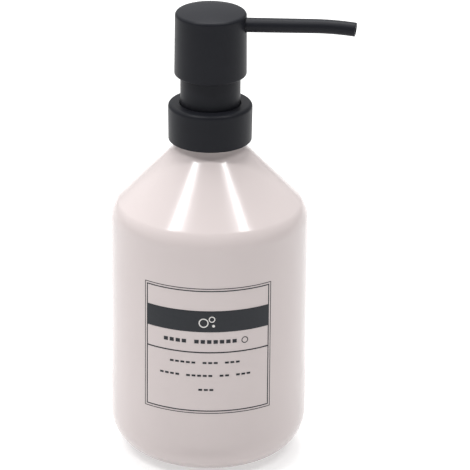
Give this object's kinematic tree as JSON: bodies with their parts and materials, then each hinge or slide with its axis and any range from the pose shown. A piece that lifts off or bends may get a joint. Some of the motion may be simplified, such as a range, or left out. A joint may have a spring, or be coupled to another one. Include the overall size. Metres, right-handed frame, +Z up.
{
  "type": "soap dispenser bottle",
  "caption": "Round glazed bottle with a sloping shoulder and a black screw-on lotion pump whose head presses down and turns with its thin spout.",
  "frame": {"origin": "centre of the foot of the bottle, on the surface that it stands on", "axes": "+Z up along the axis of bottle and pump, -Y towards the label, the spout near +X at rest"},
  "size_m": [0.0934, 0.0761, 0.1808],
  "materials": {
    "glaze": "glossy",
    "print": "fired print",
    "black_plastic": "satin",
    "white_plastic": "moulded",
    "clear_plastic": "natural",
    "gasket": "soft",
    "seal": "soft",
    "steel": "drawn wire",
    "ball_steel": "polished"
  },
  "bodies": {
    "bottle": {"bottle_body": "glaze", "label_print": "print", "neck_insert": "white_plastic"},
    "pump": {"pump_barrel": "clear_plastic", "neck_gasket": "gasket", "stem_retainer": "black_plastic", "neck_sleeve": "black_plastic", "ball_stop": "white_plastic", "dip_tube": "clear_plastic", "return_spring": "steel"},
    "collar": {"collar_shell": "black_plastic", "closure_nut": "white_plastic"},
    "plunger": {"piston_seal": "seal"},
    "head": {"piston_rod": "white_plastic", "pump_stem": "white_plastic", "actuator_core": "white_plastic", "head_shell": "black_plastic", "spout_tube": "black_plastic"},
    "inlet_valve": {"inlet_ball": "ball_steel"},
    "outlet_valve": {"outlet_ball": "ball_steel"}
  },
  "joints": [
    {"name": "pump_rise", "type": "slide", "parent": "bottle", "child": "pump", "axis": [0, 0, 1], "range_m": [0, 0.00466]},
    {"name": "collar_turn", "type": "hinge", "parent": "pump", "child": "collar", "pos_m": [0, 0, 0.135], "axis": [0, 0, 1], "range_deg": [0, 400]},
    {"name": "head_press", "type": "slide", "parent": "pump", "child": "plunger", "axis": [0, 0, -1], "range_m": [0, 0.011], "stiffness_N_per_m": 800, "springref_m": -0.009, "deforming": ["return_spring"]},
    {"name": "head_turn", "type": "hinge", "parent": "plunger", "child": "head", "pos_m": [0, 0, 0.135], "axis": [0, 0, 1], "continuous": true},
    {"name": "inlet_ball_lift", "type": "slide", "parent": "pump", "child": "inlet_valve", "axis": [0, 0, 1], "range_m": [0, 0.0016]},
    {"name": "outlet_ball_lift", "type": "slide", "parent": "head", "child": "outlet_valve", "axis": [0, 0, 1], "range_m": [0, 0.0015]}
  ],
  "couplings": [
    {"joint": "collar_turn", "follows": "pump_rise", "rad_per_m": 1496}
  ]
}
